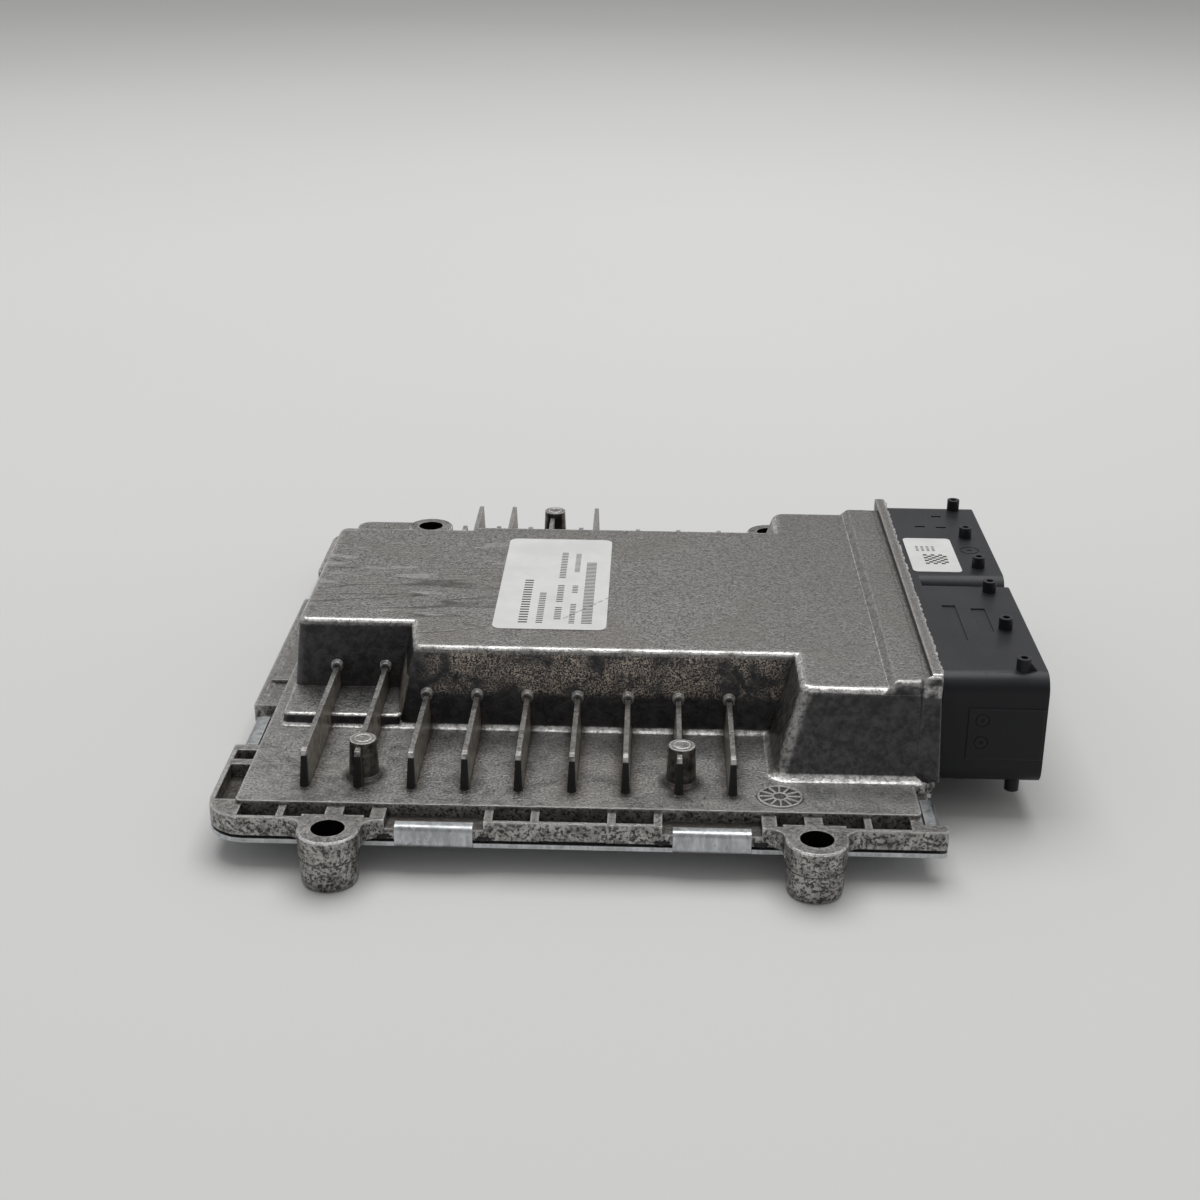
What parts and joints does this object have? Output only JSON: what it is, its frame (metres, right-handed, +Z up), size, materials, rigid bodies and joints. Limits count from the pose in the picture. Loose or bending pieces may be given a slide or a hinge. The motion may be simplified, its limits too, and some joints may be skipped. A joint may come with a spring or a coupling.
{
  "type": "engine control unit",
  "caption": "Engine control unit in a finned die-cast aluminium housing with bolt-down feet, a crimped steel base sheet and a shrouded black plastic plug header on one side.",
  "frame": {"origin": "centre of the rectangle of mounting holes, in the plane that the feet stand on", "axes": "+X towards the mouths of the plug header, +Y towards the rear fins, +Z up out of the plateau"},
  "size_m": [0.1734, 0.1896, 0.0358],
  "materials": {
    "cast_housing": "as-cast, satin, stained",
    "plated_sheet": "zinc-plated",
    "black_bead": "matt",
    "black_moulding": "matt moulded",
    "pin_metal": "tinned",
    "board_laminate": "solder resist",
    "package_black": "matt moulded",
    "pad_grey": "soft",
    "can_aluminium": "bright",
    "capacitor_ceramic": "fired",
    "choke_core": "matt",
    "crystal_can": "bright",
    "sensor_case": "matt",
    "screw_steel": "zinc-plated",
    "label_film": "bare film"
  },
  "bodies": {
    "root": {"housing": "cast_housing", "base_plate": "plated_sheet", "rim_seal": "black_bead", "header_seal": "black_bead", "connector_header": "black_moulding", "front_signal_pins": "pin_metal", "front_power_pins": "pin_metal", "rear_signal_pins": "pin_metal", "rear_power_pins": "pin_metal", "circuit_board": "board_laminate", "microcontroller": "package_black", "flash_memory": "package_black", "supply_chip": "package_black", "driver_chips": "package_black", "power_transistors": "package_black", "output_stages": "package_black", "heat_pads": "pad_grey", "electrolytic_capacitors": "can_aluminium", "ceramic_capacitors": "capacitor_ceramic", "choke": "choke_core", "crystal": "crystal_can", "pressure_sensor": "sensor_case", "board_screws": "screw_steel", "main_label": "label_film", "header_label": "label_film"}
  },
  "joints": []
}
